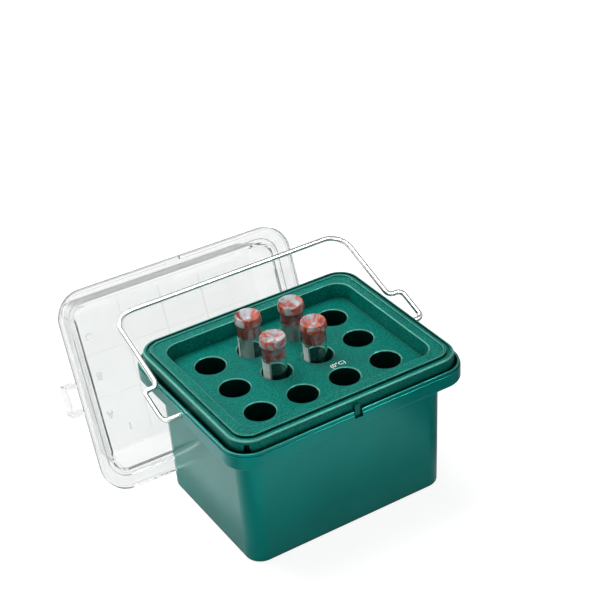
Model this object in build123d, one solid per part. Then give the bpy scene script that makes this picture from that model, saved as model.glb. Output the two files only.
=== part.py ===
from build123d import *
import math
import os

# Bench cooler for sample tubes: a tapered tub, a tray with twelve wells, a cold gel fill,
# a wire bail handle, a clear cover and four stoppered glass tubes. Millimetres, +Z up.
# The origin is the centre of the tub's foot on the bench. X runs along the long side.

# Wells
PITCH = 26.0
COLUMNS = (-1.5, -0.5, 0.5, 1.5)
ROWS = (1, 0, -1)
WELL_R = 8.5
WELL_DEPTH = 57.5
WELL_WALL = 1.2
WELL_LIP = 0.45

# Tray
DECK_Z = 79.5
DECK_T = 2.2
DECK_X, DECK_Y, DECK_R = 56.3, 43.3, 7.4
RECESS_X, RECESS_Y, RECESS_R = 58.2, 45.4, 9.2
RECESS_ROUND = 0.9
TRAY_X, TRAY_Y, TRAY_R = 68.3, 56.3, 12.6
TRAY_TOP = 87.8
TRAY_WALL = 2.0
BEAD_X, BEAD_Y, BEAD_R = 63.8, 51.5, 8.6
BEAD_W, BEAD_H = 1.5, 0.7
GROOVE_W, GROOVE_H = 1.8, 0.9
SNAP_W, SNAP_OUT, SNAP_LOW, SNAP_HIGH = 3.2, 1.5, 78.0, 84.6
VENT_W, VENT_H = 4.4, 5.2

# Tub
FOOT_X, FOOT_Y, FOOT_R = 60.9, 46.5, 9.4
NECK_X, NECK_Y, NECK_R = 62.8, 48.4, 11.3
TUB_WALL = 2.2
COLLAR_X, COLLAR_Y, COLLAR_R = 71.8, 58.9, 15.0
COLLAR_LOW, COLLAR_HIGH = 71.8, 79.7
RIM_X, RIM_Y, RIM_R = 71.2, 58.3, 14.4
RIM_TOP = 81.6
RIM_WALL = 1.2
LEDGE_Z = 74.0
RIM_GAP_W = 5.0

# Cold gel
GEL_TOP = 73.4
GEL_GAP = 0.3

# Handle
WIRE_R = 1.5
PIVOT_Z = 76.3
PIVOT_CLEARANCE = 0.05
WIRE_END_X = 69.1
LOOP_X, LOOP_H = 82.0, 21.5
ARM_X, ARM_H = 73.5, 73.3
LOOP_BEND, TOP_BEND = 3.4, 11.5
HANDLE_LEAN = 69.5

# Cover, drawn closed with the foot of its skirt at height 0
COVER_X, COVER_Y, COVER_R = 72.2, 58.6, 16.0
SKIRT_T, SKIRT_H = 1.8, 3.2
FLANGE_T = 2.0
STEP_X, STEP_Y, STEP_R, STEP_H = 66.0, 52.4, 11.5, 2.6
DOME_X, DOME_Y, DOME_R = 62.0, 48.5, 7.5
DOME_TOP_X, DOME_TOP_Y, DOME_TOP_R = 58.7, 45.2, 4.2
DOME_WALL = 1.8
COVER_H = 37.0
COVER_ROUND = 1.2
LINE_W, LINE_H = 0.5, 0.3
TAB_OUT, TAB_W, TAB_T, TAB_LOW, TAB_HIGH = 7.4, 17.5, 1.6, 1.2, 10.8
NOTCH_W = 9.0
GATE_R = 2.4
# Cover, as it stands behind the tub on one long edge
STAND_YAW = -1.2
STAND_X, STAND_Y = -25.6, 48.5

# Tubes: well column and row, shift of the tube's foot and of its top from the well's axis,
# and the bearing where its paper label starts, with the angle that it goes round
TUBES = {
    "a2": (-0.5, 1, (0, 0), (-0.4, 0.7), (46, 130)),
    "a3": (0.5, 1, (0.45, 0.95), (-1.3, -2.7), (12, 130)),
    "b2": (-0.5, 0, (0, 0), (-0.7, 0.6), (84, 130)),
    "b3": (0.5, 0, (0, 0), (-1.7, 0.2), (96, 107)),
}
FOOT_GAP = 0.05
GLASS_R, GLASS_T = 6.5, 1.0
GLASS_H = 74.8
STOPPER_R, STOPPER_RIM_R, STOPPER_TOP = 7.3, 6.85, 79.6
PLUG_H, PLUG_SQUEEZE = 8.4, 0.05
CUP_R, CUP_DEPTH = 5.9, 3.6
BOSS_R = 1.9
LABEL_LOW, LABEL_HIGH = 24.0, 65.4
LABEL_T, LABEL_GAP = 0.1, 0.03



def slab(half_x, half_y, radius, low, high):
    """Plate with rounded corners between two heights."""
    return Pos(0, 0, low) * extrude(RectangleRounded(2 * half_x, 2 * half_y, radius), high - low)


def tapered(bottom, top, low, high):
    """Rounded block between two outlines, each given as half length, half width and corner radius."""
    lower = Pos(0, 0, low) * RectangleRounded(2 * bottom[0], 2 * bottom[1], bottom[2])
    upper = Pos(0, 0, high) * RectangleRounded(2 * top[0], 2 * top[1], top[2])
    return loft([lower.face(), upper.face()], ruled=True)


def edges_at(shape, height, reach=0.01):
    """Edges that lie at one height."""
    found = []
    for edge in shape.edges():
        box = edge.bounding_box()
        if abs(box.min.Z - height) < reach and abs(box.max.Z - height) < reach:
            found.append(edge)
    return found


def is_within(edge, half_x, half_y):
    """Whether an edge lies inside a centred rectangle."""
    box = edge.bounding_box()
    return max(-box.min.X, box.max.X) < half_x and max(-box.min.Y, box.max.Y) < half_y


def well_centres():
    """Every well's centre, row by row from the back."""
    return [(PITCH * column, PITCH * row) for row in ROWS for column in COLUMNS]


def make_tub():
    neck = (NECK_X, NECK_Y, NECK_R)
    body = tapered((FOOT_X, FOOT_Y, FOOT_R), neck, 0, LEDGE_Z)
    body = fillet(edges_at(body, 0), 1.6)
    collar = slab(COLLAR_X, COLLAR_Y, COLLAR_R, COLLAR_LOW, COLLAR_HIGH)
    collar = fillet(edges_at(collar, COLLAR_LOW), 1.0)
    collar = fillet(edges_at(collar, COLLAR_HIGH), 0.4)
    collar += slab(RIM_X, RIM_Y, RIM_R, COLLAR_HIGH - 1.0, RIM_TOP)
    tub = body + collar
    inside = tuple(size - TUB_WALL for size in (FOOT_X, FOOT_Y, FOOT_R))
    inside_neck = tuple(size - TUB_WALL for size in neck)
    tub -= tapered(inside, inside_neck, TUB_WALL, LEDGE_Z + 0.01)
    tub -= slab(RIM_X - RIM_WALL, RIM_Y - RIM_WALL, RIM_R - RIM_WALL, LEDGE_Z, RIM_TOP + 1)
    tub = fillet(edges_at(tub, RIM_TOP), 0.4)
    for side in (-1, 1):
        tub -= Pos(0, side * RIM_Y, RIM_TOP) * Box(RIM_GAP_W, 6, 8)
    hole = Pos(0, 0, PIVOT_Z) * Rot(0, 90, 0) * Cylinder(WIRE_R + PIVOT_CLEARANCE, 4 * RIM_X)
    tub -= hole
    return tub


def ring(half_x, half_y, radius, width, low, high):
    """Band that follows a rounded outline, half its width on each side."""
    half = width / 2
    outer = slab(half_x + half, half_y + half, radius + half, low, high)
    return outer - slab(half_x - half, half_y - half, radius - half, low - 1, high + 1)


def make_insert():
    tray = slab(TRAY_X, TRAY_Y, TRAY_R, LEDGE_Z, TRAY_TOP)
    tray = fillet(edges_at(tray, TRAY_TOP), 1.6)
    hollow = (TRAY_X - TRAY_WALL, TRAY_Y - TRAY_WALL, TRAY_R - TRAY_WALL)
    tray -= slab(*hollow, LEDGE_Z - 1, TRAY_TOP - TRAY_WALL)
    grow = TRAY_WALL
    deck_low = DECK_Z - DECK_T
    outside_low = (DECK_X + grow, DECK_Y + grow, DECK_R + grow)
    outside_high = (RECESS_X + grow, RECESS_Y + grow, RECESS_R + grow)
    tray += tapered(outside_low, outside_high, deck_low, TRAY_TOP - TRAY_WALL + 0.5)
    recess_low = (DECK_X, DECK_Y, DECK_R)
    recess_high = (RECESS_X, RECESS_Y, RECESS_R)
    tray -= tapered(recess_low, recess_high, DECK_Z, TRAY_TOP + 0.02)
    rim = [edge for edge in edges_at(tray, TRAY_TOP) if is_within(edge, RECESS_X + 1, RECESS_Y + 1)]
    tray = fillet(rim, RECESS_ROUND)
    groove_x, groove_y, groove_r = BEAD_X + 1.9, BEAD_Y + 1.9, BEAD_R + 1.9
    tray -= ring(groove_x, groove_y, groove_r, GROOVE_W, TRAY_TOP - GROOVE_H, TRAY_TOP + 1)
    bead = ring(BEAD_X, BEAD_Y, BEAD_R, BEAD_W, TRAY_TOP - 0.5, TRAY_TOP + BEAD_H)
    tray += fillet(edges_at(bead, TRAY_TOP + BEAD_H), 0.5)
    for x, y in well_centres():
        round_z = DECK_Z - WELL_DEPTH + WELL_R
        cup = Pos(x, y, round_z) * Sphere(WELL_R + WELL_WALL)
        cup += Pos(x, y, round_z) * Cylinder(
            WELL_R + WELL_WALL, DECK_Z - 0.5 - round_z, align=(Align.CENTER, Align.CENTER, Align.MIN)
        )
        tray += cup
    for x, y in well_centres():
        round_z = DECK_Z - WELL_DEPTH + WELL_R
        tray -= Pos(x, y, round_z) * Sphere(WELL_R)
        tray -= Pos(x, y, round_z) * Cylinder(
            WELL_R, WELL_DEPTH, align=(Align.CENTER, Align.CENTER, Align.MIN)
        )
        tray -= Pos(x, y, DECK_Z - WELL_LIP) * Cone(
            WELL_R, WELL_R + 2 * WELL_LIP, 2 * WELL_LIP, align=(Align.CENTER, Align.CENTER, Align.MIN)
        )
    for side in (-1, 1):
        snap = Box(SNAP_W, SNAP_OUT + 0.5, SNAP_HIGH - SNAP_LOW)
        snap_y = side * (TRAY_Y + (SNAP_OUT - 0.5) / 2)
        tray += Pos(0, snap_y, (SNAP_LOW + SNAP_HIGH) / 2) * snap
    # small vent at the foot of the wall by the front left corner
    corner = Vector(-TRAY_X + TRAY_R, -TRAY_Y + TRAY_R, 0)
    vent = Pos(0, 0, RIM_TOP - 1.0) * extrude(
        Rectangle(VENT_W, 8.0), VENT_H, taper=12
    )
    tray -= Pos(corner.X, corner.Y, 0) * Rot(0, 0, -35) * Pos(0, -TRAY_R, 0) * vent
    return tray


def make_gel():
    size = tuple(length - TUB_WALL - GEL_GAP for length in (FOOT_X, FOOT_Y, FOOT_R))
    neck = tuple(length - TUB_WALL - GEL_GAP for length in (NECK_X, NECK_Y, NECK_R))
    gel = tapered(size, neck, TUB_WALL + GEL_GAP, GEL_TOP)
    hole_r = WELL_R + WELL_WALL + GEL_GAP
    round_z = DECK_Z - WELL_DEPTH + WELL_R
    for x, y in well_centres():
        gel -= Pos(x, y, round_z) * Sphere(hole_r)
        gel -= Pos(x, y, round_z) * Cylinder(
            hole_r, WELL_DEPTH, align=(Align.CENTER, Align.CENTER, Align.MIN)
        )
    return gel


def bent_path(points, radii):
    """Wire through the points, with an arc of the given radius at each inner one."""
    points = [Vector(*point) for point in points]
    edges = []
    start = points[0]
    for index, radius in enumerate(radii, 1):
        corner = points[index]
        back = (points[index - 1] - corner).normalized()
        onward = (points[index + 1] - corner).normalized()
        half = math.radians(back.get_angle(onward)) / 2
        run = radius / math.tan(half)
        entry = corner + back * run
        leave = corner + onward * run
        middle_way = (back + onward).normalized()
        middle = corner + middle_way * (radius / math.sin(half) - radius)
        edges.append(Edge.make_line(start, entry))
        edges.append(Edge.make_three_point_arc(entry, middle, leave))
        start = leave
    edges.append(Edge.make_line(start, points[-1]))
    return Wire(edges)


def make_handle():
    half = [
        (WIRE_END_X, 0, 0),
        (LOOP_X, 0, 0),
        (LOOP_X, 0, LOOP_H),
        (ARM_X, 0, LOOP_H),
        (ARM_X, 0, ARM_H),
    ]
    mirrored = [(-x, y, z) for x, y, z in reversed(half)]
    bends = [LOOP_BEND, LOOP_BEND, LOOP_BEND, TOP_BEND]
    path = bent_path(half + mirrored, bends + bends[::-1])
    profile = Plane(origin=(WIRE_END_X, 0, 0), z_dir=(1, 0, 0)) * Circle(WIRE_R)
    wire = sweep(profile, path=path)
    return Pos(0, 0, PIVOT_Z) * Rot(-HANDLE_LEAN, 0, 0) * wire


def cover_to_stand(shape):
    """Tip a closed cover back off the tub, onto the rounded edges of its flange and its top."""
    flange_top = SKIRT_H + FLANGE_T
    lean = math.atan2(COVER_Y - DOME_TOP_Y - DOME_WALL, COVER_H - flange_top)
    on_edge = Rot(-90 - math.degrees(lean), 0, 0) * Pos(0, -COVER_Y, 0) * shape
    standing = Pos(STAND_X, STAND_Y, 0) * Rot(0, 0, STAND_YAW) * on_edge
    return Pos(0, 0, -standing.bounding_box().min.Z) * standing


def make_cover():
    low = SKIRT_H
    high = SKIRT_H + FLANGE_T
    cover = slab(COVER_X, COVER_Y, COVER_R, 0, high)
    cover = fillet(edges_at(cover, high), COVER_ROUND)
    cover -= slab(COVER_X - SKIRT_T, COVER_Y - SKIRT_T, COVER_R - SKIRT_T, -1, low)
    step = slab(STEP_X, STEP_Y, STEP_R, low, high + STEP_H)
    cover += fillet(edges_at(step, high + STEP_H), 0.8)
    outer_low = (DOME_X + DOME_WALL, DOME_Y + DOME_WALL, DOME_R + DOME_WALL)
    outer_high = (DOME_TOP_X + DOME_WALL, DOME_TOP_Y + DOME_WALL, DOME_TOP_R + DOME_WALL)
    dome = tapered(outer_low, outer_high, low, COVER_H)
    cover += fillet(edges_at(dome, COVER_H), COVER_ROUND)
    under = STEP_X - 2.0, STEP_Y - 2.0, STEP_R - 2.0
    cover -= slab(*under, -1, low + 1.4)
    inner_low = (DOME_X, DOME_Y, DOME_R)
    inner_high = (DOME_TOP_X, DOME_TOP_Y, DOME_TOP_R)
    cover -= tapered(inner_low, inner_high, low, COVER_H - DOME_WALL)
    # raised lines that divide the top into the well positions
    line_z = COVER_H - DOME_WALL
    for x in (-PITCH, 0, PITCH):
        cover += Pos(x, 0, line_z) * Box(LINE_W, 3 * PITCH, 2 * LINE_H)
    for y in (-PITCH / 2, PITCH / 2):
        cover += Pos(0, y, line_z) * Box(4 * PITCH, LINE_W, 2 * LINE_H)
    cover += Pos(0, 0, COVER_H) * Cylinder(GATE_R, 0.8)
    # open brackets in the middle of the short sides, which the handle's loops close over
    tab_h = TAB_HIGH - TAB_LOW
    for side in (-1, 1):
        bracket_x = side * (COVER_X - 1 + (TAB_OUT + 1) / 2)
        bracket = Box(TAB_OUT + 1, TAB_W, tab_h)
        opening = Pos(-side * TAB_T, 0, 0) * Box(TAB_OUT + 1, TAB_W - 2 * TAB_T, tab_h + 1)
        cover += Pos(bracket_x, 0, TAB_LOW + tab_h / 2) * (bracket - opening)
    for side in (-1, 1):
        cover -= Pos(0, side * COVER_Y, 0) * Box(NOTCH_W, 2 * SKIRT_T + 0.6, 2 * SKIRT_H - 1)
    return cover_to_stand(cover)


def tube_place(column, row, foot, top):
    """Place that stands a tube in its well, from its foot to its leaning top."""
    x, y = PITCH * column, PITCH * row
    slack = WELL_R - GLASS_R - FOOT_GAP
    round_z = DECK_Z - WELL_DEPTH + WELL_R - math.sqrt(slack ** 2 - foot[0] ** 2 - foot[1] ** 2)
    centre = Vector(x + foot[0], y + foot[1], round_z)
    lean = Vector(top[0] - foot[0], top[1] - foot[1], STOPPER_TOP - GLASS_R)
    across = Vector(1, 0, -lean.X / lean.Z)
    return Plane(origin=centre - lean.normalized() * GLASS_R, x_dir=across, z_dir=lean).location


def make_glass(place):
    upright = (Align.CENTER, Align.CENTER, Align.MIN)
    shell = Cylinder(GLASS_R, GLASS_H - GLASS_R, align=upright)
    glass = Pos(0, 0, GLASS_R) * shell + Pos(0, 0, GLASS_R) * Sphere(GLASS_R)
    bore_r = GLASS_R - GLASS_T
    glass -= Pos(0, 0, GLASS_R) * Sphere(bore_r)
    glass -= Pos(0, 0, GLASS_R) * Cylinder(bore_r, GLASS_H, align=upright)
    return place * glass


def make_stopper(place):
    seat = GLASS_H + 0.05
    plug_r = GLASS_R - GLASS_T + PLUG_SQUEEZE
    profile = [
        (0, seat - PLUG_H),
        (plug_r - 0.6, seat - PLUG_H),
        (plug_r, seat - PLUG_H + 0.8),
        (plug_r, seat),
        (STOPPER_R - 0.4, seat),
        (STOPPER_R, seat + 0.4),
        (STOPPER_R, seat + 2.0),
        (STOPPER_RIM_R, STOPPER_TOP - 0.4),
        (STOPPER_RIM_R - 0.3, STOPPER_TOP),
        (CUP_R + 0.2, STOPPER_TOP),
        (CUP_R, STOPPER_TOP - 0.2),
        (BOSS_R + 0.9, STOPPER_TOP - CUP_DEPTH),
        (BOSS_R, STOPPER_TOP - CUP_DEPTH + 0.2),
        (BOSS_R - 0.4, STOPPER_TOP - CUP_DEPTH + 1.3),
        (0, STOPPER_TOP - CUP_DEPTH + 1.5),
    ]
    face = Plane.XZ * make_face(Polyline(*profile, close=True))
    return place * revolve(face, Axis.Z)


def make_label(place, bearing, turn):
    """Paper wrapped part of the way round the glass."""
    inner = GLASS_R + LABEL_GAP
    face = Pos(inner + LABEL_T / 2, 0, (LABEL_LOW + LABEL_HIGH) / 2) * (
        Plane.XZ * Rectangle(LABEL_T, LABEL_HIGH - LABEL_LOW)
    )
    return place * Rot(0, 0, bearing) * revolve(face, Axis.Z, turn)


os.makedirs("parts", exist_ok=True)
parts = {
    "tub": make_tub(),
    "insert": make_insert(),
    "gel": make_gel(),
    "handle": make_handle(),
    "cover": make_cover(),
}
for name, (column, row, foot, top, wrap) in TUBES.items():
    place = tube_place(column, row, foot, top)
    parts[f"glass_{name}"] = make_glass(place)
    parts[f"stopper_{name}"] = make_stopper(place)
    parts[f"label_{name}"] = make_label(place, *wrap)
for name, shape in parts.items():
    solid = shape.solids()[0] if len(shape.solids()) == 1 else shape
    export_step(solid, f"parts/{name}.step")
    box = solid.bounding_box()
    print(name, len(shape.solids()), round(shape.volume), box.min, box.max)
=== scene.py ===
"""Bench cooler for sample tubes: its finishes, its small printed marks and its studio.

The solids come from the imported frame, in metres, with +Z up and the tub's foot on the floor.
This file gives each of them its surface, adds the raised and printed marks, and lights the whole.
"""

import math

import bmesh
import bpy
from bpy.props import FloatProperty, FloatVectorProperty, PointerProperty
from mathutils import Matrix, Vector


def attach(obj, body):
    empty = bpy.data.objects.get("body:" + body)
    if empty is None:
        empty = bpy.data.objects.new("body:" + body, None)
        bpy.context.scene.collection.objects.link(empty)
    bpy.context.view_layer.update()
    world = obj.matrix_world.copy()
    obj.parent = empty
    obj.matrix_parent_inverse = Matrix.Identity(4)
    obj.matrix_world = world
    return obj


bl_info = {
    "name": "Sample tube cooler",
    "version": (1, 0, 0),
    "blender": (4, 5, 0),
    "location": "View3D > Sidebar > Tube cooler",
    "description": "Finishes, marks and studio for a bench cooler with wells for sample tubes",
    "category": "Object",
}

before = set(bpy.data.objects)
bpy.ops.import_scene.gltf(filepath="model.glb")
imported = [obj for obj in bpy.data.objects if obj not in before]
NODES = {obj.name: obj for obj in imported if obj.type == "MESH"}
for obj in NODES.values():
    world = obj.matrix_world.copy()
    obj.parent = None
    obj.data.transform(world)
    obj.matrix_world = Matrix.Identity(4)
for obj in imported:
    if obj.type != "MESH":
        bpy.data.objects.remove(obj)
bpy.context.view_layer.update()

MM = 0.001
DECK_HEIGHT = 79.5 * MM
RIM_FOOT = 79.7 * MM
GLASS_TOP = 96.9 * MM
WELL_PITCH = 26.0
TUBE_PLACES = ("a2", "a3", "b2", "b3")

# The standing cover, in millimetres. Its middle lies up the slope from its foot, and its marks
# are placed from that middle, so far across and so far down the slope, on its top.
COVER_YAW = math.radians(-1.2)
COVER_LEAN = math.atan2(11.6, 31.8)
COVER_FOOT = (-25.6, 48.5, 1.548)
COVER_FOOT_TO_MIDDLE = 58.6
COVER_TOP = 35.1
LETTERS_ACROSS, FIRST_LETTER_DOWN, LETTER_STEP = -48.2, 24.0, -24.0
FIRST_NUMBER_ACROSS, NUMBERS_DOWN = -38.5, 34.2
MARK_RELIEF = 0.3 * MM

DECK_PRINT_AT = (16.2 * MM, -14.6 * MM, DECK_HEIGHT + 0.03 * MM)
DECK_PRINT_HEIGHT, DECK_PRINT_RELIEF = 2.9 * MM, 0.06 * MM
CAPITAL_SHARE = 0.7
CORNER_ANGLE = math.radians(32)
FLOOR_HEIGHT, FLOOR_HALF = -0.3 * MM, 4.0


# Settings


class GreenPlasticSettings(bpy.types.PropertyGroup):
    """Colours and grain of the two green mouldings."""

    tub_colour: FloatVectorProperty(
        name="Tub colour",
        description="Base colour of the glossy tub",
        subtype="COLOR",
        size=3,
        min=0,
        max=1,
        default=(0.0, 0.185, 0.163),
    )
    tray_colour: FloatVectorProperty(
        name="Tray colour",
        description="Base colour of the satin tray",
        subtype="COLOR",
        size=3,
        min=0,
        max=1,
        default=(0.0, 0.135, 0.104),
    )
    fleck_colour: FloatVectorProperty(
        name="Fleck colour",
        description="Colour of the pale flecks in the tray",
        subtype="COLOR",
        size=3,
        min=0,
        max=1,
        default=(0.0, 0.25, 0.2),
    )
    # The edge colour is a painted highlight along rounded edges and the wells' lips.
    edge_highlight_colour: FloatVectorProperty(
        name="Edge colour",
        description="Colour of the polished edges and lips, where the moulding is rubbed pale",
        subtype="COLOR",
        size=3,
        min=0,
        max=1,
        default=(0.13, 0.35, 0.28),
    )
    fleck_size: FloatProperty(
        name="Fleck size",
        description="Width of one fleck in the tray's grain",
        subtype="DISTANCE",
        unit="LENGTH",
        min=0.0001,
        default=0.00062,
    )


class ClearPlasticSettings(bpy.types.PropertyGroup):
    """Tint and marks of the clear cover."""

    tint: FloatVectorProperty(
        name="Cover tint",
        description="Colour that the clear plastic gives to light passing through it",
        subtype="COLOR",
        size=3,
        min=0,
        max=1,
        default=(0.908, 0.916, 0.913),
    )
    mark_height: FloatProperty(
        name="Mark height",
        description="Height of the raised row letters and column numbers",
        subtype="DISTANCE",
        unit="LENGTH",
        min=0.001,
        default=0.0045,
    )


class WireSettings(bpy.types.PropertyGroup):
    """Finish of the handle's wire."""

    steel_colour: FloatVectorProperty(
        name="Steel colour",
        description="Colour of the bright wire",
        subtype="COLOR",
        size=3,
        min=0,
        max=1,
        default=(0.87, 0.87, 0.86),
    )
    roughness: FloatProperty(
        name="Wire roughness",
        description="How far the wire's polish blurs what it mirrors",
        subtype="FACTOR",
        min=0,
        max=1,
        default=0.19,
    )


class TubeSettings(bpy.types.PropertyGroup):
    """Glass and rubber of the sample tubes."""

    rubber_red: FloatVectorProperty(
        name="Red rubber",
        description="Warm colour in the stoppers' marbling",
        subtype="COLOR",
        size=3,
        min=0,
        max=1,
        default=(0.55, 0.095, 0.045),
    )
    rubber_grey: FloatVectorProperty(
        name="Grey rubber",
        description="Cool colour in the stoppers' marbling",
        subtype="COLOR",
        size=3,
        min=0,
        max=1,
        default=(0.42, 0.43, 0.46),
    )
    swirl_size: FloatProperty(
        name="Swirl size",
        description="Width of one swirl in the marbling",
        subtype="DISTANCE",
        unit="LENGTH",
        min=0.001,
        default=0.0085,
    )
    paper_colour: FloatVectorProperty(
        name="Label paper",
        description="Colour of the tubes' paper labels",
        subtype="COLOR",
        size=3,
        min=0,
        max=1,
        default=(0.74, 0.76, 0.75),
    )
    # The glued side's colour is painted shade on the label's side against the glass.
    back_shade_colour: FloatVectorProperty(
        name="Label's glued side",
        description="Colour of the labels' side that lies against the glass",
        subtype="COLOR",
        size=3,
        min=0,
        max=1,
        default=(0.2, 0.27, 0.25),
    )
    rule_gap: FloatProperty(
        name="Ruled line spacing",
        description="Distance from one ruled line on a label to the next",
        subtype="DISTANCE",
        unit="LENGTH",
        min=0.001,
        default=0.0042,
    )
    glass_tint: FloatVectorProperty(
        name="Glass tint",
        description="Colour of the tubes' glass",
        subtype="COLOR",
        size=3,
        min=0,
        max=1,
        default=(0.93, 0.96, 0.95),
    )


class StageSettings(bpy.types.PropertyGroup):
    """Floor, lamps and camera."""

    floor_colour: FloatVectorProperty(
        name="Floor colour",
        description="Colour of the plain floor",
        subtype="COLOR",
        size=3,
        min=0,
        max=1,
        default=(0.62, 0.62, 0.62),
    )
    top_power: FloatProperty(
        name="Top lamp",
        description="Power of the large soft lamp above",
        subtype="POWER",
        unit="POWER",
        min=0,
        default=15.0,
    )
    fill_power: FloatProperty(
        name="Fill lamp",
        description="Power of the soft lamp in front and to the left",
        subtype="POWER",
        unit="POWER",
        min=0,
        default=2.6,
    )
    glint_power: FloatProperty(
        name="Front glint lamp",
        description="Power of the small lamp that brightens edges that face the front",
        subtype="POWER",
        unit="POWER",
        min=0,
        default=11.0,
    )
    lip_power: FloatProperty(
        name="Lip glint lamp",
        description="Power of the small lamp that brightens the wells' rear lips",
        subtype="POWER",
        unit="POWER",
        min=0,
        default=6.6,
    )
    side_power: FloatProperty(
        name="Side glint lamp",
        description="Power of the small lamp that brightens edges that face the left",
        subtype="POWER",
        unit="POWER",
        min=0,
        default=2.0,
    )
    room_light: FloatProperty(
        name="Room light",
        description="Strength of the even light from all round",
        min=0,
        default=0.22,
    )
    ceiling: FloatProperty(
        name="Mirrored ceiling",
        description="Strength of the dim ceiling that glossy pieces mirror",
        min=0,
        default=0.18,
    )
    ceiling_through: FloatProperty(
        name="Ceiling seen through glass",
        description="Strength of the ceiling that clear pieces bend into view",
        min=0,
        default=0.72,
    )
    front_sweep: FloatProperty(
        name="Floor sweep",
        description="Strength of the lit floor in front that the tub's wall mirrors",
        min=0,
        default=1.2,
    )
    focal_length: FloatProperty(
        name="Focal length",
        description="The camera's lens",
        subtype="DISTANCE_CAMERA",
        unit="CAMERA",
        min=1,
        default=95.2,
    )
    camera_distance: FloatProperty(
        name="Camera distance",
        description="From the camera to the point that it looks at",
        subtype="DISTANCE",
        unit="LENGTH",
        min=0.1,
        default=0.902,
    )


class CoolerSettings(bpy.types.PropertyGroup):
    """All the settings of the cooler."""

    green: PointerProperty(type=GreenPlasticSettings)
    clear: PointerProperty(type=ClearPlasticSettings)
    wire: PointerProperty(type=WireSettings)
    tubes: PointerProperty(type=TubeSettings)
    stage: PointerProperty(type=StageSettings)


# Node helpers


def rgba(colour, gain=1.0):
    """Four channels from a setting's three, made lighter or darker by the gain."""
    return (*(min(1.0, channel * gain) for channel in colour), 1.0)


def new_material(name):
    """Material with one Principled shader, and the object's own coordinates to place its grain."""
    material = bpy.data.materials.new(name)
    material.use_nodes = True
    tree = material.node_tree
    shader = tree.nodes["Principled BSDF"]
    space = tree.nodes.new("ShaderNodeTexCoord").outputs["Object"]
    return material, tree, shader, space


def noise(tree, space, size, detail=2.0, roughness=0.5, distortion=0.0):
    """Noise whose blobs are about that many metres wide."""
    node = tree.nodes.new("ShaderNodeTexNoise")
    node.inputs["Scale"].default_value = 1.0 / size
    node.inputs["Detail"].default_value = detail
    node.inputs["Roughness"].default_value = roughness
    node.inputs["Distortion"].default_value = distortion
    tree.links.new(space, node.inputs["Vector"])
    return node.outputs["Fac"]


def stretched(tree, space, scale):
    """The same coordinates, stretched along each axis."""
    node = tree.nodes.new("ShaderNodeMapping")
    node.inputs["Scale"].default_value = scale
    tree.links.new(space, node.inputs["Vector"])
    return node.outputs["Vector"]


def ramp(tree, factor, *stops):
    """Colour ramp through the stops, each a position and a colour."""
    node = tree.nodes.new("ShaderNodeValToRGB")
    elements = node.color_ramp.elements
    elements[0].position, elements[0].color = stops[0]
    elements[-1].position, elements[-1].color = stops[-1]
    for position, colour in stops[1:-1]:
        elements.new(position).color = colour
    tree.links.new(factor, node.inputs["Fac"])
    return node.outputs["Color"]


def ranged(tree, value, low, high, to_low, to_high):
    """Value moved smoothly from one range to another."""
    node = tree.nodes.new("ShaderNodeMapRange")
    node.interpolation_type = "SMOOTHSTEP"
    limits = {"From Min": low, "From Max": high, "To Min": to_low, "To Max": to_high}
    for socket, number in limits.items():
        node.inputs[socket].default_value = number
    tree.links.new(value, node.inputs["Value"])
    return node.outputs["Result"]


def blended(tree, factor, first, second, blend_type="MIX"):
    """Two colours mixed by a factor; each may be a socket or four numbers."""
    node = tree.nodes.new("ShaderNodeMix")
    node.data_type = "RGBA"
    node.blend_type = blend_type
    sockets = node.inputs["Factor"], node.inputs[6], node.inputs[7]
    for socket, source in zip(sockets, (factor, first, second)):
        if isinstance(source, bpy.types.NodeSocket):
            tree.links.new(source, socket)
        else:
            socket.default_value = source
    return node.outputs[2]


def relief(tree, shader, height, depth):
    """Bump of that many metres on the shader."""
    node = tree.nodes.new("ShaderNodeBump")
    node.inputs["Distance"].default_value = depth
    tree.links.new(height, node.inputs["Height"])
    tree.links.new(node.outputs["Normal"], shader.inputs["Normal"])


def painted_hollow_shade(tree, colour, reach, shade=0.05):
    """The colour with painted shade where other surfaces stand close, as in wells and narrow
    channels.
    """
    near = tree.nodes.new("ShaderNodeAmbientOcclusion")
    near.samples = 12
    near.inputs["Distance"].default_value = reach
    share = ranged(tree, near.outputs["AO"], 0.35, 0.86, 0.0, 1.0)
    deep = blended(tree, 1.0, colour, (shade, shade, shade, 1.0), "MULTIPLY")
    return blended(tree, share, deep, colour)


def parts_of(tree, socket):
    """A vector's three numbers."""
    node = tree.nodes.new("ShaderNodeSeparateXYZ")
    tree.links.new(socket, node.inputs[0])
    return node.outputs


def heights(tree, socket):
    """Third number of a vector."""
    return parts_of(tree, socket)["Z"]


def product(tree, first, second):
    """Two numbers multiplied."""
    node = tree.nodes.new("ShaderNodeMath")
    node.operation = "MULTIPLY"
    tree.links.new(first, node.inputs[0])
    tree.links.new(second, node.inputs[1])
    return node.outputs[0]


def picked(tree, factor, first, second):
    """Number mixed from two by a factor; each of the two may be a socket or a plain number."""
    node = tree.nodes.new("ShaderNodeMix")
    tree.links.new(factor, node.inputs["Factor"])
    for socket, source in ((node.inputs[2], first), (node.inputs[3], second)):
        if isinstance(source, bpy.types.NodeSocket):
            tree.links.new(source, socket)
        else:
            socket.default_value = source
    return node.outputs[0]


def rounded_edges(tree, above):
    """One on rounded edges above a height, nought on level and upright faces."""
    coordinates = tree.nodes.new("ShaderNodeTexCoord")
    slope = heights(tree, coordinates.outputs["Normal"])
    past_upright = ranged(tree, slope, 0.3, 0.5, 0.0, 1.0)
    short_of_level = ranged(tree, slope, 0.84, 0.96, 1.0, 0.0)
    edge = product(tree, past_upright, short_of_level)
    height = heights(tree, coordinates.outputs["Object"])
    return product(tree, edge, ranged(tree, height, above, above + MM, 0.0, 1.0))


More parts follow.
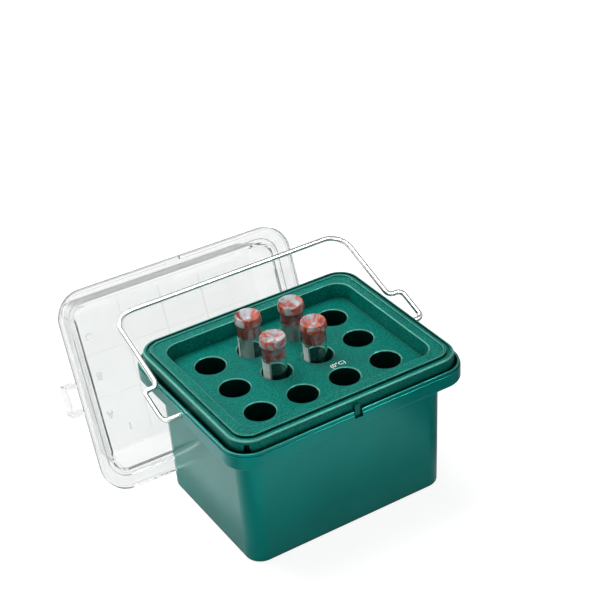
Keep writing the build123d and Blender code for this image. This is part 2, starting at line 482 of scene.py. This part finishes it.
def see_through_shadow(tree, shader, tint):
    """Let lamplight through a clear material, so that it casts a pale shadow."""
    path = tree.nodes.new("ShaderNodeLightPath")
    clear = tree.nodes.new("ShaderNodeBsdfTransparent")
    clear.inputs["Color"].default_value = tint
    mix = tree.nodes.new("ShaderNodeMixShader")
    tree.links.new(path.outputs["Is Shadow Ray"], mix.inputs["Fac"])
    tree.links.new(shader.outputs["BSDF"], mix.inputs[1])
    tree.links.new(clear.outputs["BSDF"], mix.inputs[2])
    tree.links.new(mix.outputs["Shader"], tree.nodes["Material Output"].inputs["Surface"])


# Finishes


def glossy_green(settings):
    """Glossy moulded tub: cloudy deep green with faint scuffs, painted shade where surfaces stand
    close, and painted highlights on its rounded edges.
    """
    material, tree, shader, space = new_material("Glossy green moulding")
    cloud = noise(tree, space, 0.03, detail=3)
    dark, light = rgba(settings.tub_colour, 0.92), rgba(settings.tub_colour, 1.08)
    colour = ramp(tree, cloud, (0.3, dark), (0.7, light))
    edge = rounded_edges(tree, RIM_FOOT)
    # Painted shade where surfaces stand close, as in the channel by the tray.
    shaded = painted_hollow_shade(tree, colour, 6 * MM)
    # Painted highlight: rounded edges above the rim's foot take the pale edge colour.
    highlit = blended(tree, edge, shaded, rgba(settings.edge_highlight_colour))
    tree.links.new(highlit, shader.inputs["Base Color"])
    scuff = noise(tree, stretched(tree, space, (1, 1, 0.2)), 0.004, detail=5, roughness=0.6)
    tree.links.new(ranged(tree, scuff, 0.3, 0.75, 0.1, 0.2), shader.inputs["Roughness"])
    shader.inputs["Specular IOR Level"].default_value = 0.85
    shader.inputs["Specular Tint"].default_value = rgba((0.0, 0.8, 0.7))
    relief(tree, shader, noise(tree, space, 0.0014, detail=2), 0.00002)
    return material


def flecked_green(settings):
    """Satin tray: fine pale and dark flecks in a pebbled skin, painted highlights on its rounded
    edges, and painted shade in its wells, recess and channels.
    """
    material, tree, shader, space = new_material("Flecked green moulding")
    grain = noise(tree, space, settings.fleck_size, detail=3, roughness=0.7)
    base = ramp(
        tree,
        grain,
        (0.36, rgba(settings.tray_colour, 0.25)),
        (0.46, rgba(settings.tray_colour, 0.85)),
        (0.55, rgba(settings.tray_colour, 1.1)),
        (0.64, rgba(settings.fleck_colour, 1.15)),
    )
    cloud = noise(tree, space, 0.02, detail=2)
    shade = ramp(tree, cloud, (0.3, (0.84, 0.84, 0.84, 1)), (0.7, (1, 1, 1, 1)))
    cloudy = blended(tree, 1.0, base, shade, "MULTIPLY")
    # Painted shade where surfaces stand close, in the wells, the recess and narrow channels.
    shaded = painted_hollow_shade(tree, cloudy, 12 * MM)
    # Painted shade: below the deck, inside the wells, the colour falls nearly to black.
    below = DECK_HEIGHT - 1.1 * MM
    above_painted_shade = ranged(tree, heights(tree, space), below, below + 0.4 * MM, 0.0, 1.0)
    skin = blended(tree, above_painted_shade, rgba(settings.tray_colour, 0.08), shaded)
    edge = rounded_edges(tree, DECK_HEIGHT - 1.5 * MM)
    # Painted highlight: rounded edges take the pale edge colour; their lower roughness is real
    # polish.
    highlit = blended(tree, edge, skin, rgba(settings.edge_highlight_colour))
    tree.links.new(highlit, shader.inputs["Base Color"])
    satin = ranged(tree, grain, 0.3, 0.7, 0.46, 0.3)
    polish = ranged(tree, edge, 0.0, 1.0, 1.0, 0.45)
    tree.links.new(product(tree, satin, polish), shader.inputs["Roughness"])
    shader.inputs["Specular IOR Level"].default_value = 0.35
    shader.inputs["Specular Tint"].default_value = rgba((0.02, 0.9, 0.8))
    relief(tree, shader, grain, 0.00009)
    return material


def bright_wire(settings):
    """Drawn stainless wire with fine lengthwise draw marks."""
    material, tree, shader, space = new_material("Bright drawn wire")
    marks = noise(tree, space, 0.0009, detail=4, roughness=0.65)
    low, high = rgba(settings.steel_colour, 0.86), rgba(settings.steel_colour)
    tree.links.new(ramp(tree, marks, (0.3, low), (0.6, high)), shader.inputs["Base Color"])
    shader.inputs["Metallic"].default_value = 1.0
    rough = ranged(tree, marks, 0.3, 0.7, settings.roughness * 1.3, settings.roughness * 0.8)
    tree.links.new(rough, shader.inputs["Roughness"])
    relief(tree, shader, marks, 0.00001)
    return material


def clear_plastic(settings):
    """Clear moulded cover with a faint flow ripple and a few soft scuffs."""
    material, tree, shader, space = new_material("Clear moulded plastic")
    haze = noise(tree, space, 0.012, detail=4, roughness=0.6)
    colour = ramp(tree, haze, (0.3, rgba(settings.tint, 0.975)), (0.7, rgba(settings.tint)))
    tree.links.new(colour, shader.inputs["Base Color"])
    tree.links.new(ranged(tree, haze, 0.45, 0.8, 0.0, 0.06), shader.inputs["Roughness"])
    shader.inputs["Transmission Weight"].default_value = 0.955
    shader.inputs["IOR"].default_value = 1.49
    relief(tree, shader, noise(tree, space, 0.03, detail=1), 0.00012)
    see_through_shadow(tree, shader, rgba(settings.tint, 0.93))
    return material


def tube_glass(settings):
    """Thin clear glass with a faint draw ripple."""
    material, tree, shader, space = new_material("Tube glass")
    ripple = noise(tree, stretched(tree, space, (1, 1, 0.3)), 0.004, detail=2)
    low, high = rgba(settings.glass_tint, 0.95), rgba(settings.glass_tint)
    tree.links.new(ramp(tree, ripple, (0.3, low), (0.7, high)), shader.inputs["Base Color"])
    tree.links.new(ranged(tree, ripple, 0.4, 0.8, 0.0, 0.04), shader.inputs["Roughness"])
    shader.inputs["Transmission Weight"].default_value = 1.0
    shader.inputs["IOR"].default_value = 1.5
    relief(tree, shader, ripple, 0.00003)
    see_through_shadow(tree, shader, rgba(settings.glass_tint, 0.9))
    return material


def marbled_rubber(settings):
    """Red and grey rubber, swirled together and dusty, with painted shade on the plug inside the
    glass.
    """
    material, tree, shader, space = new_material("Marbled rubber")
    swirl = noise(tree, space, settings.swirl_size, detail=4, roughness=0.55, distortion=1.6)
    marble = ramp(
        tree,
        swirl,
        (0.36, rgba(settings.rubber_red, 0.3)),
        (0.44, rgba(settings.rubber_red, 0.9)),
        (0.49, rgba(settings.rubber_red, 1.3)),
        (0.52, rgba(settings.rubber_grey, 0.6)),
        (0.56, rgba(settings.rubber_grey)),
        (0.68, rgba(settings.rubber_grey, 1.3)),
    )
    dust = noise(tree, space, 0.0006, detail=3, roughness=0.7)
    speck = ramp(tree, dust, (0.35, (0.8, 0.8, 0.8, 1)), (0.6, (1, 1, 1, 1)))
    dusty = blended(tree, 1.0, marble, speck, "MULTIPLY")
    near = tree.nodes.new("ShaderNodeAmbientOcclusion")
    near.inputs["Distance"].default_value = 0.004
    high = ranged(tree, heights(tree, space), GLASS_TOP + MM, GLASS_TOP + 2 * MM, 0.0, 1.0)
    chalk = product(tree, high, ranged(tree, near.outputs["AO"], 0.5, 0.8, 0.7, 0.0))
    dusty = blended(tree, chalk, dusty, rgba(settings.rubber_grey, 1.35))
    # Painted shade: the plug inside the glass is darkened.
    shaded_plug = blended(tree, 1.0, dusty, (0.3, 0.26, 0.27, 1), "MULTIPLY")
    above_painted_shade = ranged(tree, heights(tree, space), GLASS_TOP - 0.8 * MM, GLASS_TOP, 0.0, 1.0)
    tree.links.new(blended(tree, above_painted_shade, shaded_plug, dusty), shader.inputs["Base Color"])
    tree.links.new(ranged(tree, dust, 0.3, 0.7, 0.6, 0.4), shader.inputs["Roughness"])
    relief(tree, shader, dust, 0.00005)
    return material


def paper_label(settings):
    """White paper with fine fibres and plain ruled lines, and painted shade on its side against the
    glass.
    """
    material, tree, shader, space = new_material("Paper label")
    fibre = noise(tree, stretched(tree, space, (1, 1, 0.4)), 0.0007, detail=4, roughness=0.7)
    grey, white = rgba(settings.paper_colour, 0.86), rgba(settings.paper_colour)
    paper = ramp(tree, fibre, (0.3, grey), (0.65, white))
    rules = tree.nodes.new("ShaderNodeTexWave")
    rules.bands_direction = "Z"
    rules.inputs["Scale"].default_value = 0.314 / settings.rule_gap
    tree.links.new(space, rules.inputs["Vector"])
    ruled = ranged(tree, rules.outputs["Fac"], 0.93, 1.0, 0.0, 0.6)
    front = blended(tree, ruled, paper, rgba(settings.paper_colour, 0.6))
    # Painted shade: where the glass lies close, the label takes the dark colour of its glued side.
    near = tree.nodes.new("ShaderNodeAmbientOcclusion")
    near.inputs["Distance"].default_value = 0.3 * MM
    outer = ranged(tree, near.outputs["AO"], 0.25, 0.75, 0.0, 1.0)
    both_sides = blended(tree, outer, rgba(settings.back_shade_colour), front)
    tree.links.new(both_sides, shader.inputs["Base Color"])
    tree.links.new(ranged(tree, fibre, 0.3, 0.7, 0.75, 0.55), shader.inputs["Roughness"])
    relief(tree, shader, fibre, 0.00004)
    return material


def frozen_gel():
    """Pale frozen gel with frosty veins, sealed under the tray."""
    material, tree, shader, space = new_material("Frozen gel")
    vein = noise(tree, space, 0.008, detail=6, roughness=0.65, distortion=0.8)
    frost = ramp(tree, vein, (0.35, (0.62, 0.78, 0.84, 1)), (0.65, (0.88, 0.94, 0.96, 1)))
    tree.links.new(frost, shader.inputs["Base Color"])
    tree.links.new(ranged(tree, vein, 0.3, 0.7, 0.35, 0.6), shader.inputs["Roughness"])
    shader.inputs["Subsurface Weight"].default_value = 0.2
    shader.inputs["Subsurface Scale"].default_value = 0.004
    relief(tree, shader, vein, 0.0003)
    return material


def white_ink():
    """Screen-printed white ink, a little thin in places."""
    material, tree, shader, space = new_material("White printing ink")
    cover = noise(tree, space, 0.0005, detail=3, roughness=0.7)
    thin = ramp(tree, cover, (0.25, (0.62, 0.72, 0.68, 1)), (0.5, (0.9, 0.9, 0.88, 1)))
    tree.links.new(thin, shader.inputs["Base Color"])
    tree.links.new(ranged(tree, cover, 0.3, 0.7, 0.6, 0.45), shader.inputs["Roughness"])
    return material


# Pieces


def dress(name, material):
    """Give a CAD node its finish, with smooth shading that breaks at real corners."""
    solid = NODES[name]
    solid.data.materials.clear()
    solid.data.materials.append(material)
    for polygon in solid.data.polygons:
        polygon.use_smooth = True
        polygon.material_index = 0
    split = solid.modifiers.new("Corners", "EDGE_SPLIT")
    split.split_angle = CORNER_ANGLE
    split.use_edge_sharp = False


def raised_text(name, words, place, height, thickness, material):
    """Flat lettering with a small thickness, as one mesh at a place given by a matrix."""
    curve = bpy.data.curves.new(name, "FONT")
    curve.body = words
    curve.size = height / CAPITAL_SHARE
    curve.extrude = thickness / 2
    curve.bevel_depth = thickness / 6
    curve.offset = thickness / 2
    curve.align_x = "CENTER"
    curve.align_y = "CENTER"
    draft = bpy.data.objects.new(name + "_draft", curve)
    bpy.context.scene.collection.objects.link(draft)
    bpy.context.view_layer.update()
    mesh = bpy.data.meshes.new_from_object(draft)
    bpy.data.objects.remove(draft)
    mesh.transform(place)
    mesh.materials.clear()
    mesh.materials.append(material)
    return mesh


def joined(name, meshes):
    """One object from several meshes that share a material."""
    whole = bmesh.new()
    for mesh in meshes:
        whole.from_mesh(mesh)
    result = bpy.data.meshes.new(name)
    whole.to_mesh(result)
    whole.free()
    result.materials.append(meshes[0].materials[0])
    piece = bpy.data.objects.new(name, result)
    bpy.context.scene.collection.objects.link(piece)
    return piece


class COOLER_OT_tub(bpy.types.Operator):
    """Finish the tub and the cold gel sealed in it"""

    bl_idname = "cooler.tub"
    bl_label = "Tub and gel"

    def execute(self, context):
        settings = context.scene.cooler.green
        dress("tub", glossy_green(settings))
        dress("gel", frozen_gel())
        return {"FINISHED"}


class COOLER_OT_tray(bpy.types.Operator):
    """Finish the tray and print the temperature on its deck"""

    bl_idname = "cooler.tray"
    bl_label = "Tray"

    def execute(self, context):
        dress("insert", flecked_green(context.scene.cooler.green))
        ink = white_ink()
        place = Matrix.Translation(DECK_PRINT_AT)
        size = DECK_PRINT_HEIGHT, DECK_PRINT_RELIEF
        print_mesh = raised_text("deck_print", "(0°C)", place, *size, ink)
        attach(joined("deck_print", [print_mesh]), "cooler")
        return {"FINISHED"}


class COOLER_OT_handle(bpy.types.Operator):
    """Finish the wire handle"""

    bl_idname = "cooler.handle"
    bl_label = "Handle"

    def execute(self, context):
        dress("handle", bright_wire(context.scene.cooler.wire))
        return {"FINISHED"}


def cover_plane():
    """Frame of the standing cover's top: across, towards its lower edge, and out of its top."""
    across = Vector((math.cos(COVER_YAW), math.sin(COVER_YAW), 0))
    level = Vector((-math.sin(COVER_YAW), math.cos(COVER_YAW), 0))
    out = level * math.cos(COVER_LEAN) - Vector((0, 0, math.sin(COVER_LEAN)))
    down = -(level * math.sin(COVER_LEAN) + Vector((0, 0, math.cos(COVER_LEAN))))
    origin = Vector(COVER_FOOT) * MM - down * COVER_FOOT_TO_MIDDLE * MM
    return origin, across, down, out


class COOLER_OT_cover(bpy.types.Operator):
    """Finish the clear cover and raise its row letters and column numbers"""

    bl_idname = "cooler.cover"
    bl_label = "Cover"

    def execute(self, context):
        settings = context.scene.cooler.clear
        plastic = clear_plastic(settings)
        dress("cover", plastic)
        origin, across, down, out = cover_plane()
        turn = Matrix((across, down, out)).transposed().to_4x4()
        places = []
        for row, letter in enumerate("ABC"):
            places.append((letter, LETTERS_ACROSS, FIRST_LETTER_DOWN + LETTER_STEP * row))
        for column in range(4):
            across_to = FIRST_NUMBER_ACROSS + WELL_PITCH * column
            places.append((str(column + 1), across_to, NUMBERS_DOWN))
        size = settings.mark_height, MARK_RELIEF
        meshes = []
        for mark, u, v in places:
            spot = origin + (across * u + down * v + out * COVER_TOP) * MM
            place = Matrix.Translation(spot) @ turn
            meshes.append(raised_text(mark, mark, place, *size, plastic))
        marks = joined("cover_marks", meshes)
        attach(marks, "cover")
        return {"FINISHED"}


class COOLER_OT_tubes(bpy.types.Operator):
    """Finish the stoppered and labelled glass tubes"""

    bl_idname = "cooler.tubes"
    bl_label = "Sample tubes"

    def execute(self, context):
        settings = context.scene.cooler.tubes
        glass = tube_glass(settings)
        rubber = marbled_rubber(settings)
        paper = paper_label(settings)
        for place in TUBE_PLACES:
            dress("glass_" + place, glass)
            dress("stopper_" + place, rubber)
            dress("label_" + place, paper)
        return {"FINISHED"}


# Studio

SEEN_SHARE, SEEN_GLOW = 0.55, 1.58
MIRRORED_SHARE, THROUGH_GLOW = 0.88, 1.04


def studio_floor(settings):
    """Plain floor, white to the camera, that keeps the shadow and is mirrored as a sweep."""
    material = bpy.data.materials.new("Studio floor")
    material.use_nodes = True
    tree = material.node_tree
    shader = tree.nodes["Principled BSDF"]
    shader.inputs["Base Color"].default_value = rgba(settings.floor_colour)
    shader.inputs["Roughness"].default_value = 0.9
    shader.inputs["Specular IOR Level"].default_value = 0.0
    path = tree.nodes.new("ShaderNodeLightPath")
    where = parts_of(tree, tree.nodes.new("ShaderNodeTexCoord").outputs["Object"])
    sweep_end = 0.33 * settings.front_sweep
    ahead = ranged(tree, where["Y"], -0.12, -0.065, settings.front_sweep, sweep_end)
    front = product(tree, ahead, ranged(tree, where["X"], 0.065, 0.095, 1.0, 0.03))
    beside = ranged(tree, where["X"], -0.078, -0.066, 1.1, 0.45)
    sweep = picked(tree, ranged(tree, where["Y"], -0.07, 0.03, 0.0, 1.0), front, beside)
    seen, bent = path.outputs["Is Camera Ray"], path.outputs["Is Transmission Ray"]
    share = picked(tree, bent, 0.0, MIRRORED_SHARE)
    share = picked(tree, path.outputs["Is Glossy Ray"], share, MIRRORED_SHARE)
    glow = tree.nodes.new("ShaderNodeEmission")
    strength = picked(tree, seen, picked(tree, bent, sweep, THROUGH_GLOW), SEEN_GLOW)
    tree.links.new(strength, glow.inputs["Strength"])
    mix = tree.nodes.new("ShaderNodeMixShader")
    tree.links.new(picked(tree, seen, share, SEEN_SHARE), mix.inputs["Fac"])
    tree.links.new(shader.outputs["BSDF"], mix.inputs[1])
    tree.links.new(glow.outputs["Emission"], mix.inputs[2])
    tree.links.new(mix.outputs["Shader"], tree.nodes["Material Output"].inputs["Surface"])
    return material


def studio_world(settings):
    """Even room light; the camera sees white, gloss a white sweep, and glass a pale ceiling."""
    world = bpy.data.worlds.new("Studio")
    world.use_nodes = True
    tree = world.node_tree
    room = tree.nodes["Background"]
    room.inputs["Color"].default_value = (1, 1, 1, 1)
    path = tree.nodes.new("ShaderNodeLightPath")
    direction = parts_of(tree, tree.nodes.new("ShaderNodeTexCoord").outputs["Generated"])
    behind = ranged(tree, direction["Z"], 0.15, 0.55, 1.0, settings.ceiling)
    above = picked(tree, ranged(tree, direction["Y"], -0.3, 0.2, 0.0, 1.0), 0.75, behind)
    mirrored = product(tree, above, ranged(tree, direction["Z"], 0.03, 0.14, 0.3, 1.0))
    through = ranged(tree, direction["Z"], 0.2, 0.6, 1.0, settings.ceiling_through)
    strength = picked(tree, path.outputs["Is Glossy Ray"], settings.room_light, mirrored)
    strength = picked(tree, path.outputs["Is Transmission Ray"], strength, through)
    strength = picked(tree, path.outputs["Is Camera Ray"], strength, 1.0)
    tree.links.new(strength, room.inputs["Strength"])
    return world


def soft_lamp(name, place, aim, size, power, lights=True):
    """Square soft lamp at a place, turned to a point; one that doesn't light is only mirrored."""
    data = bpy.data.lights.new(name, "AREA")
    data.size = size
    data.energy = power
    lamp = bpy.data.objects.new(name, data)
    lamp.location = place
    lamp.rotation_euler = (Vector(aim) - Vector(place)).to_track_quat("-Z", "Y").to_euler()
    lamp.visible_diffuse = lights
    bpy.context.scene.collection.objects.link(lamp)


def camera_at(settings, aim, azimuth, elevation, roll):
    """Camera at that bearing and height in degrees, leaning by the roll, looking at the aim."""
    a, e, r = (math.radians(angle) for angle in (azimuth, elevation, roll))
    back = Vector((math.sin(a) * math.cos(e), -math.cos(a) * math.cos(e), math.sin(e)))
    level = (-back).cross(Vector((0, 0, 1))).normalized()
    upright = level.cross(-back)
    right = level * math.cos(r) + upright * math.sin(r)
    up = upright * math.cos(r) - level * math.sin(r)
    data = bpy.data.cameras.new("Camera")
    data.lens = settings.focal_length
    data.sensor_width = 36.0
    data.clip_start = 0.01
    camera = bpy.data.objects.new("Camera", data)
    turn = Matrix((right, up, back)).transposed().to_4x4()
    camera.matrix_world = Matrix.Translation(Vector(aim) + back * settings.camera_distance) @ turn
    bpy.context.scene.collection.objects.link(camera)
    bpy.context.scene.camera = camera


class COOLER_OT_stage(bpy.types.Operator):
    """Set the floor, the lamps, the white surroundings and the camera"""

    bl_idname = "cooler.stage"
    bl_label = "Stage"

    def execute(self, context):
        settings = context.scene.cooler.stage
        sheet = bmesh.new()
        bmesh.ops.create_grid(sheet, x_segments=8, y_segments=8, size=FLOOR_HALF)
        mesh = bpy.data.meshes.new("floor")
        sheet.to_mesh(mesh)
        sheet.free()
        mesh.materials.append(studio_floor(settings))
        floor = bpy.data.objects.new("floor", mesh)
        floor.location.z = FLOOR_HEIGHT
        context.scene.collection.objects.link(floor)
        context.scene.world = studio_world(settings)
        middle = (0, 0.02, 0.06)
        soft_lamp("top", (-0.15, 0.4, 1.05), middle, 0.8, settings.top_power)
        soft_lamp("fill", (-0.6, -1.0, 0.5), middle, 0.7, settings.fill_power)
        glints = (
            ("front_glint", (0.5, -0.6, 0.95), 0.22, settings.glint_power),
            ("lip_glint", (-0.31, -0.53, 1.04), 0.2, settings.lip_power),
            ("side_glint", (-0.62, 0.87, 0.56), 0.14, settings.side_power),
        )
        for name, place, size, power in glints:
            soft_lamp(name, place, middle, size, power, lights=False)
        aim = (0.0347, 0.0528, 0.0794)
        camera_at(settings, aim, azimuth=-29.96, elevation=31.80, roll=-4.11)
        context.scene.view_settings.view_transform = "Standard"
        return {"FINISHED"}


class COOLER_PT_panel(bpy.types.Panel):
    """Settings and build steps of the cooler"""

    bl_label = "Tube cooler"
    bl_idname = "COOLER_PT_panel"
    bl_space_type = "VIEW_3D"
    bl_region_type = "UI"
    bl_category = "Tube cooler"

    def draw(self, context):
        for group, steps in PANEL_ROWS:
            box = self.layout.box()
            settings = getattr(context.scene.cooler, group)
            for name in settings.__annotations__:
                box.prop(settings, name)
            for step in steps:
                box.operator(step.bl_idname)


PANEL_ROWS = (
    ("green", (COOLER_OT_tub, COOLER_OT_tray)),
    ("wire", (COOLER_OT_handle,)),
    ("clear", (COOLER_OT_cover,)),
    ("tubes", (COOLER_OT_tubes,)),
    ("stage", (COOLER_OT_stage,)),
)

CLASSES = (
    GreenPlasticSettings,
    ClearPlasticSettings,
    WireSettings,
    TubeSettings,
    StageSettings,
    CoolerSettings,
    COOLER_OT_tub,
    COOLER_OT_tray,
    COOLER_OT_handle,
    COOLER_OT_cover,
    COOLER_OT_tubes,
    COOLER_OT_stage,
    COOLER_PT_panel,
)


def register():
    """Make the settings, the steps and the panel known to Blender."""
    for item in CLASSES:
        bpy.utils.register_class(item)
    bpy.types.Scene.cooler = PointerProperty(type=CoolerSettings)


def unregister():
    """Take them out again."""
    del bpy.types.Scene.cooler
    for item in reversed(CLASSES):
        bpy.utils.unregister_class(item)


def main():
    """Build everything in order."""
    register()
    bpy.ops.cooler.tub()
    bpy.ops.cooler.tray()
    bpy.ops.cooler.handle()
    bpy.ops.cooler.cover()
    bpy.ops.cooler.tubes()
    bpy.ops.cooler.stage()


if __name__ == "__main__":
    main()
